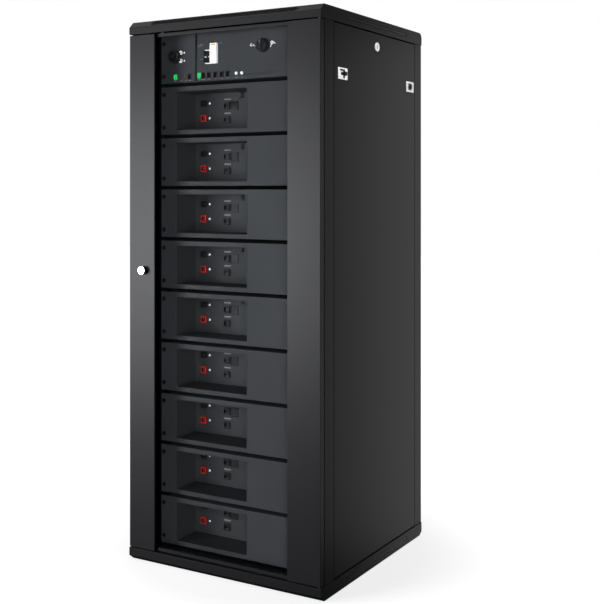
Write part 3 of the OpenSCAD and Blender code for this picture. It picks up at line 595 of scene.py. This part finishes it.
def rack_screws():
    """Pan-head screws with a hex socket and a captive washer, on both ears of every unit."""
    bm = bmesh.new()
    low, high = mm_box("rack_screws")
    ear_x = high[0] - 6
    margin = 20
    units = [(lo[2], hi[2]) for lo, hi in module_boxes] + [(panel_low[2], panel_high[2])]
    head = [(2.0, 0.6), (2.0, 2.4), (3.0, 3.4), (4.6, 3.0), (5.3, 1.8), (5.4, 0.6), (6.2, 0.6),
            (6.2, 0), (2.0, 0), (2.0, 0.6)]
    for z0, z1 in units:
        for z in (z0 + margin, z1 - margin):
            for x in (-ear_x, ear_x):
                add_lathe(bm, (x, rack_y, z), head, "-Y", 20)
                add_lathe(bm, (x, rack_y, z), [(0, 0.4), (2.1, 0.4), (2.1, 1.2), (0, 1.2)], "-Y", 6)
                add_lathe(bm, (x, rack_y + 9.5, z), [(0, 0), (2.9, 0), (2.9, 9.4), (0, 9.4)], "-Y", 16)
                add_box(bm, (x - 6, rack_y + 4.2, z - 6), (x + 6, rack_y + 8.8, z + 6), 0.6)
    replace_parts(add_object("rack_screw_set", bm, BLACK_STEEL, "cabinet"), "rack_screws")


# ---------------------------------------------------------------- module details

def module_details():
    """What sits on the back wall of every connector bay."""
    white, dark, shell, brass, red, window, grey = (bmesh.new() for _ in range(7))
    olive, caption = bmesh.new(), bmesh.new()
    mark_x = connector_x + 17.5
    mark_profile = [(0, 0), (2.8, 0), (2.8, PRINT), (0, PRINT)]
    word_widths = (3.2, 2.2, 2.8, 2.0, 3.4)
    word_step = 4.1
    window_z = 79
    cap_z = 107
    lever_z, lever_step = 101.2, 4
    shield_out, shield_in = 7.4, 6.4
    contact_pitch = 1.16
    for index, (low, high) in enumerate(module_boxes):
        z = low[2]
        # Polarity marks beside the sockets
        for mark_z, bars in ((minus_z, 1), (plus_z, 2)):
            add_lathe(white, (mark_x, bay_back, z + mark_z), mark_profile)
            symbol = dark if bars == 1 else red
            add_stroke(symbol, mark_x - 1.7, z + mark_z, mark_x + 1.7, z + mark_z, 0.9,
                       bay_back - 2 * PRINT, bay_back - PRINT)
            if bars == 2:
                add_stroke(symbol, mark_x, z + mark_z - 1.7, mark_x, z + mark_z + 1.7, 0.9,
                           bay_back - 2.2 * PRINT, bay_back - PRINT)
        # Contacts and black sleeves of the sockets
        tip_y = minus_low[1]
        for socket_z in (minus_z, plus_z):
            add_lathe(brass, (connector_x, tip_y + 3.5, z + socket_z),
                      [(0, 0), (1.5, 0), (1.5, 2.2), (1.1, 2.8), (0, 3.0)], "-Y", 16)
            add_lathe(dark, (connector_x, bay_back - 1, z + socket_z),
                      [(4.1, 0), (5.4, 0), (5.4, 6.2), (6.6, 6.2), (6.6, 6.6), (4.1, 6.6), (4.1, 0)], "-Y", 8)
        # Jack shields, contacts and link lamps
        for jack in (jack_top_z, jack_top_z - jack_drop):
            y = ports_low[1]
            x = jack_x
            front, rear = y - 0.3, y + 4.5
            add_box(shell, (x - shield_out, front, z + jack - 7.2),
                    (x - shield_in, rear, z + jack + 5.6), 0.2)
            add_box(shell, (x + shield_in, front, z + jack - 7.2),
                    (x + shield_out, rear, z + jack + 5.6), 0.2)
            add_box(shell, (x - shield_out, front, z + jack + 4.6),
                    (x + shield_out, rear, z + jack + 5.8), 0.2)
            for k in range(8):
                add_box(brass, (x - 4.4 + k * contact_pitch, y + 0.8, z + jack - 5.6),
                        (x - 3.9 + k * contact_pitch, y + 4.6, z + jack - 4.9), 0.1)
            add_box(dark, (x - 6.2, y + 4.4, z + jack - 5.8), (x + 6.2, y + 4.9, z + jack + 4.3))
            for lamp in (-6.6, 4.2):
                add_box(shell, (x + lamp, y - 0.2, z + jack - 9.6),
                        (x + lamp + 2.4, y + 0.2, z + jack - 7.6), 0.1)
            # Caption blocks above each jack
            for k, w in enumerate(word_widths):
                word_x = x - 10 + k * word_step
                add_box(caption, (word_x, bay_back - PRINT, z + jack + 16),
                        (word_x + w, bay_back, z + jack + 19.2))
        # Address window with its rim
        x0, x1 = jack_x + 11, jack_x + 35.5
        zc = z + window_z
        if index == 0:
            # The master unit: a display behind dark glass and a capped service socket above it
            add_box(window, (x0 + 1.5, bay_back - 2.6, zc - 11), (x1 - 3.4, bay_back - 1.2, zc + 11.5), 0.2)
            add_box(dark, (x0 - 0.3, bay_back - 2.9, zc - 13), (x1 + 0.3, bay_back - 2.1, zc + 13), 0.3)
            add_lathe(olive, (x1 + 5, bay_back, z + cap_z),
                      [(0, 0), (9.5, 0), (9.5, 5), (8.4, 6.5), (0, 6.5)], "-Y", 8)
        else:
            for k in range(3):
                low_z = z + lever_z + k * lever_step
                add_box(grey, (x1 + 12.8, bay_back - 5.6, low_z),
                        (x1 + 14.6, bay_back - 4.9, low_z + 1.6), 0.15)
    add_object("module_print", white, WHITE_INK, "cabinet")
    add_object("module_captions", caption, PALE_INK, "cabinet")
    add_object("module_socket_sleeves", dark, BLACK_PLASTIC, "cabinet")
    add_object("module_shields", shell, BLACK_STEEL, "cabinet")
    add_object("module_contacts", brass, BRASS, "cabinet")
    add_object("module_windows", window, BLACK_PLASTIC, "cabinet")
    add_object("module_switch_levers", grey, DARK_PLASTIC, "cabinet")
    add_object("module_service_cap", olive, OLIVE_PLASTIC, "cabinet")
    add_object("module_plus_marks", red, RED_PLASTIC, "cabinet")


# ---------------------------------------------------------------- control box details

def control_details():
    """Printed symbols, captions and the small parts of the control box's front."""
    white, grey, orange, amber, blue, steel = (bmesh.new() for _ in range(6))
    y0, y1 = rack_y - PRINT, rack_y
    caption_z = 4.6
    lamp_z = 17

    def on_box(x, z):
        return x, box_z + z

    # Two round symbols beside the power connector
    power_low, power_high = mm_box("power_connector")
    px = power_high[0] - 1
    pz = (power_low[2] + power_high[2]) / 2
    for dz in (11, -11):
        add_ring(white, px, pz + dz, 5.4, 3.8, y0, y1)
        add_stroke(white, px, pz + dz - 3.8, px, pz + dz + 3.8, 1.5, y0, y1)
        add_outline(white, [(px + 10, pz + dz - 2.4), (px + 14.4, pz + dz - 2.4),
                            (px + 12.2, pz + dz + 2.8)], y0, y1)
    # Breaker prints: two coloured marks, thin rules and a bar at the top
    low, high = mm_box("breaker_body")
    nose_y = low[1]
    nose_margin, nose_w = 18, 21
    nose_x1 = high[0] - nose_margin
    nose_x0 = nose_x1 - nose_w
    pole = (high[2] - low[2]) / 3
    for k in range(3):
        z = low[2] + (k + 0.5) * pole
        if k < 2:
            add_outline(orange, [(nose_x0 + 2.5, z - 3.5), (nose_x0 + 6.5, z - 2), (nose_x0 + 5.5, z + 2.5),
                                 (nose_x0 + 3, z + 3.5)], nose_y - PRINT, nose_y)
        add_stroke(grey, nose_x0 + 9.5, z + 2.5, nose_x0 + 17, z + 2.5, 0.5, nose_y - PRINT, nose_y)
        add_stroke(grey, nose_x0 + 9.5, z - 1.5, nose_x0 + 14, z - 1.5, 0.5, nose_y - PRINT, nose_y)
        add_lathe(grey, (nose_x0 + 16.5, nose_y, z - 5.0), [(0, 0), (1.3, 0), (1.3, 0.4), (0, 0.4)], "-Y", 16)
    add_box(orange, (nose_x0 + 3, nose_y - PRINT, high[2] - 6.4), (nose_x1 - 3, nose_y, high[2] - 2.2))
    # Pole marks at the left of the breaker
    for k, (dx, dz) in enumerate(((0, 0), (6, 1.2), (12, 1.8))):
        x, z = on_box(-117 + dx, 96 + dz)
        add_stroke(grey, x, z - 3, x + 3.2, z + 3, 1.6, y0, y1)
    for x, z in (on_box(-106, 60), on_box(-43, 99)):
        add_stroke(grey, x - 4, z, x + 4, z + 0.5, 1.2, y0, y1)
    # Position marks around the isolator
    knob_low, knob_high = mm_box("isolator_base")
    kx = (knob_low[0] + knob_high[0]) / 2
    kz = (knob_low[2] + knob_high[2]) / 2
    add_stroke(white, kx - 40, kz + 2, kx - 36, kz + 8, 1.8, y0, y1)
    add_stroke(white, kx - 40, kz + 1, kx - 33, kz + 1, 1.6, y0, y1)
    add_stroke(white, kx - 32, kz + 5, kx - 27, kz - 1, 1.6, y0, y1)
    add_stroke(grey, kx - 27, kz + 1, kx - 22, kz + 1, 1.4, y0, y1)
    add_ring(white, kx + 27, kz + 5.5, 4.4, 2.4, y0, y1)
    add_stroke(white, kx + 25, kz + 1, kx + 22, kz - 6, 1.8, y0, y1)
    add_stroke(white, kx + 33, kz + 7, kx + 36, kz + 1, 1.6, y0, y1)
    add_stroke(grey, kx + 36, kz + 1, kx + 40, kz + 4, 1.6, y0, y1)
    # Captions under the connectors, as (x, width): short bars only
    captions = [(-194, 8), (-172, 7), (-158, 4), (-145, 9), (-113, 5), (-100, 14), (-81, 8), (-60, 4),
                (-39, 6), (-21, 9), (8.5, 9), (26, 5)]
    for k, (x, w) in enumerate(captions):
        x, z = on_box(x, caption_z)
        target = blue if k in (0, 4) else grey
        add_box(target, (x - w / 2, y0, z), (x - w / 6, y1, z + 1.8))
        add_box(target, (x - w / 12, y0, z), (x + w / 2, y1, z + 1.8))
    for x in (-161, -71):
        x, z = on_box(x, lamp_z)
        add_box(amber, (x - 1.8, rack_y - 1.0, z - 3.5), (x + 1.8, y1, z + 3.5), 0.4)
    # Flange screws of the power connector and the isolator
    power_screw_r, isolator_screw_r = 14.6, 16.6
    for cx, cz, r in ((px - 16, pz, power_screw_r), (kx, kz, isolator_screw_r)):
        for a in (45, 135, 225, 315):
            x = cx + r * math.cos(math.radians(a))
            z = cz + r * math.sin(math.radians(a))
            add_lathe(steel, (x, rack_y - 4, z),
                      [(0, 0), (1.5, 0), (1.3, 0.9), (0.7, 1.2), (0, 1.2)], "-Y", 12)
    # Riveted strip that joins the two front plates behind their seam; its black finish makes the seam read as
    # a dark line, painted shade along the seam.
    strip = bmesh.new()
    back = panel_high[1] + 0.3
    half, thick, rivet_x = 9, 1.2, 6.3
    add_box(strip, (front_seam_x - half, back, panel_low[2] + 6),
            (front_seam_x + half, back + thick, panel_high[2] - 6), 0.4)
    for z in (panel_low[2] + 16, panel_high[2] - 16):
        for dx in (-rivet_x, rivet_x):
            add_lathe(strip, (front_seam_x + dx, back + thick, z),
                      [(0, 0), (1.6, 0), (1.3, 0.7), (0, 1.0)], "+Y", 14)
    add_object("front_seam_strip", strip, BLACK_STEEL, "cabinet")
    add_object("control_print_white", white, WHITE_INK, "cabinet")
    add_object("control_print_grey", grey, GREY_INK, "cabinet")
    add_object("breaker_print", orange, ORANGE_INK, "cabinet")
    add_object("control_lamps", amber, AMBER_INK, "cabinet")
    add_object("control_print_blue", blue, BLUE_INK, "cabinet")
    add_object("control_screws", steel, BLACK_STEEL, "cabinet")


def knob_details():
    """A pointer on the isolator knob and dark rings on the two push buttons."""
    low, high = mm_box("isolator_knob")
    x = (low[0] + high[0]) / 2
    bm = bmesh.new()
    add_box(bm, (x - 0.9, low[1] - 0.15, high[2] - 12), (x + 0.9, low[1] + 0.1, high[2] - 4))
    add_object("isolator_pointer", bm, GREY_INK, "isolator_knob")
    # Four scoops in the knob's face, either side of the grip bar
    bm = bmesh.new()
    z = (low[2] + high[2]) / 2
    face = rack_y - 12
    scoop_x, scoop_z = 9.2, 7.0
    for dx in (-scoop_x, scoop_x):
        for dz in (-scoop_z, scoop_z):
            add_lathe(bm, (x + dx, face + 0.3, z + dz),
                      [(0, 0.35), (3.6, 0.4), (4.3, 0.75), (4.7, 0.4), (4.6, 0), (0, 0), (0, 0.35)], "-Y", 20)
    add_object("isolator_scoops", bm, BLACK_PLASTIC, "isolator_knob")
    collar_out, collar_in = 5.6, 4.35
    for node in ("button_start", "button_reset"):
        low, high = mm_box(node)
        x = (low[0] + high[0]) / 2
        z = (low[2] + high[2]) / 2
        bm = bmesh.new()
        add_ring(bm, x, z, collar_out, collar_in, rack_y - 1.2, rack_y, 32)
        add_object(node + "_collar", bm, DARK_PLASTIC, "cabinet")
        bm = bmesh.new()
        if node == "button_start":
            add_ring(bm, x + 0.8, z, 1.9, 1.0, low[1] - 0.2, low[1] + 0.05, 24)
        else:
            add_box(bm, (x - 1.8, low[1] - 0.2, z - 0.6), (x + 1.8, low[1] + 0.05, z + 0.6))
        add_object(node + "_mark", bm, GREY_INK, node)


def latch_details():
    """A thumb hook on each front latch and a ribbed pad on each rear one."""
    rib_step = 3.6
    for side, sign in (("left", -1), ("right", 1)):
        inner, outer = sorted((sign * (base_high[0] + 0.6), sign * (base_high[0] + 3.6)))
        for place in ("front", "rear"):
            node = "latch_%s_%s" % (place, side)
            low, high = mm_box(node)
            z = (low[2] + high[2]) / 2
            face = outer_verts(node, sign)
            y = sum(v.co.y for v in face) / len(face) / MM
            bm = bmesh.new()
            if place == "front":
                add_box(bm, (inner, y - 23, z + 6.5), (outer, y - 2, z + 10.5), 1.2, 3)
                add_box(bm, (inner, y - 6, z - 12), (outer, y - 1, z + 10.5), 1.2, 3)
            else:
                for k in range(5):
                    rib_y = y + k * rib_step
                    add_box(bm, (inner, rib_y - 8, z - 8), (outer, rib_y - 6, z + 8), 0.8, 2)
                add_box(bm, (inner + 0.4, y - 9, z - 9), (outer - 0.8, y + 9.5, z + 9), 0.5, 2)
            plastic = BLACK_PLASTIC if place == "front" else GREY_PLASTIC
            add_object(node + "_grip", bm, plastic, node)


def outer_verts(node, sign):
    """The vertices of a latch that stand furthest out, which are its knob's face."""
    verts = frame["nodes"][node].data.vertices
    reach = max(sign * v.co.x for v in verts)
    return [v for v in verts if sign * v.co.x > reach - 0.5 * MM]


# ---------------------------------------------------------------- stage, camera, lights

def camera():
    """The viewpoint: 30.55 degrees round to the right, level, with the horizon shifted up."""
    lens = bpy.data.cameras.new("camera")
    lens.sensor_width = 36
    lens.lens = 62.55
    lens.shift_y = -0.187
    lens.clip_end = 100
    view = bpy.data.objects.new("camera", lens)
    view.location = (1.555, -2.527, 1.010)
    view.rotation_euler = (math.radians(90), 0, math.radians(30.55))
    bpy.context.scene.collection.objects.link(view)
    bpy.context.scene.camera = view


def area_light(name, at, target, size, power):
    data = bpy.data.lights.new(name, "AREA")
    data.shape = "RECTANGLE"
    data.size, data.size_y = size
    data.energy = power
    light = bpy.data.objects.new(name, data)
    light.location = at
    direction = Vector(target) - Vector(at)
    light.rotation_euler = direction.to_track_quat("-Z", "Y").to_euler()
    light.visible_camera = False
    bpy.context.scene.collection.objects.link(light)
    return light


BRIGHT_NAMES = ("breaker_body_finish", "terminal_blocks_finish", "module_plus_connectors_finish",
                "module_print", "control_print_white", "breaker_print", "button_start_finish",
                "button_reset_finish")


def lights():
    # The key stands front left, where the door's paint mirrors it towards the camera; the pane does not
    key = area_light("key", (-1.84, -2.55, 0.78), (0, -0.3, 0.85), (1.6, 1.35), 56)
    key.data.color = (0.97, 0.98, 1.0)
    unlit = bpy.data.collections.new("key_exclusions")
    unlit.objects.link(bpy.data.objects["door_glass_finish"])
    unlit.collection_objects[0].light_linking.link_state = "EXCLUDE"
    key.light_linking.receiver_collection = unlit
    # A broad fill for the units behind the pane
    fill = area_light("unit_fill", (-1.6, -2.55, 0.45), (0, -0.23, 0.6), (1.4, 3.0), 6.0)
    units = bpy.data.collections.new("unit_pieces")
    for piece in UNIT_PIECES:
        units.objects.link(piece)
    fill.light_linking.receiver_collection = units
    front = area_light("unit_front", (1.9, -2.9, 0.75), (0, -0.23, 0.7), (1.2, 2.2), 89)
    front.light_linking.receiver_collection = units
    # A small lamp for the coloured plastics and the white print
    accent = area_light("accent", (0.7, -2.9, 1.1), (0, -0.23, 0.8), (1.0, 1.6), 130)
    bright = bpy.data.collections.new("bright_pieces")
    for piece in UNIT_PIECES:
        if piece.name in BRIGHT_NAMES:
            bright.objects.link(piece)
    accent.light_linking.receiver_collection = bright
    # And one for the bright fittings of the side panels
    spark = area_light("side_accent", (2.2, -1.3, 1.5), (0.3, 0, 1.35), (1.0, 1.0), 75)
    fittings = bpy.data.collections.new("side_fittings")
    for name in ("side_fittings_right", "side_fittings_left", "side_lock_cam_right", "side_lock_cam_left"):
        fittings.objects.link(bpy.data.objects[name + "_finish"])
    spark.light_linking.receiver_collection = fittings
    # A dim tall strip close behind on the right grades the side panel towards its rear edge
    area_light("rear_rim", (0.62, 0.86, 0.64), (0.3, 0.18, 0.64), (0.28, 1.9), 2.15)
    # The cover's slope mirrors a lamp above the left side
    sheen = area_light("cover_sheen", (-1.1, 0.0, 3.0), (0, -0.3, 1.46), (1.2, 0.8), 5)
    roof = bpy.data.collections.new("cover_pieces")
    roof.objects.link(bpy.data.objects["roof_cover_finish"])
    sheen.light_linking.receiver_collection = roof
    area_light("overhead", (0.2, -0.6, 4.2), (0, 0, 0), (3, 3), 9)


def world():
    """White behind the object, dimmer as a source of light."""
    scene_world = bpy.data.worlds.new("studio")
    scene_world.use_nodes = True
    nodes, links = scene_world.node_tree.nodes, scene_world.node_tree.links
    seen = nodes["Background"]
    seen.inputs["Color"].default_value = (1, 1, 1, 1)
    seen.inputs["Strength"].default_value = 1.0
    lit = nodes.new("ShaderNodeBackground")
    lit.inputs["Color"].default_value = (0.97, 0.98, 1, 1)
    coords = nodes.new("ShaderNodeTexCoord")
    split = nodes.new("ShaderNodeSeparateXYZ")
    links.new(coords.outputs["Generated"], split.inputs["Vector"])
    links.new(map_range(nodes, links, split.outputs["Z"], 0.013, 0.076, -0.35, 0.1), lit.inputs["Strength"])
    path = nodes.new("ShaderNodeLightPath")
    mix = nodes.new("ShaderNodeMixShader")
    links.new(path.outputs["Is Camera Ray"], mix.inputs["Fac"])
    links.new(lit.outputs["Background"], mix.inputs[1])
    links.new(seen.outputs["Background"], mix.inputs[2])
    links.new(mix.outputs["Shader"], nodes["World Output"].inputs["Surface"])
    bpy.context.scene.world = scene_world
    bpy.context.scene.view_settings.view_transform = "Standard"


def floor():
    mat, nodes, links, shader = new_material("studio_floor")
    set_sockets(shader, Base_Color=(0.8, 0.8, 0.8, 1), Roughness=0.9, Specular_IOR_Level=0.0,
                Emission_Color=(1, 1, 1, 1))
    # The floor's emission weakens close to the cabinet: a painted contact shadow round its foot.
    far = nodes.new("ShaderNodeVectorMath")
    far.operation = "LENGTH"
    links.new(object_coords(nodes, links), far.inputs[0])
    painted_shadow_fade = map_range(nodes, links, far.outputs["Value"], 0.76, 1.0, 0.4, 0.75)
    links.new(painted_shadow_fade, shader.inputs["Emission Strength"])
    bm = bmesh.new()
    bmesh.ops.create_grid(bm, x_segments=2, y_segments=2, size=12)
    mesh = bpy.data.meshes.new("studio_floor")
    bm.to_mesh(mesh)
    bm.free()
    mesh.materials.append(mat)
    plane = bpy.data.objects.new("studio_floor", mesh)
    plane.visible_diffuse = False
    plane.visible_glossy = False
    plane.visible_transmission = False
    plane.visible_shadow = False
    bpy.context.scene.collection.objects.link(plane)


cabinet_finishes()
latch_details()
vents()
before = set(bpy.data.objects)
unit_finishes()
rack_screws()
module_details()
control_details()
knob_details()
UNIT_PIECES = [piece for piece in bpy.data.objects if piece not in before and piece.type == "MESH"]
camera()
lights()
world()
floor()
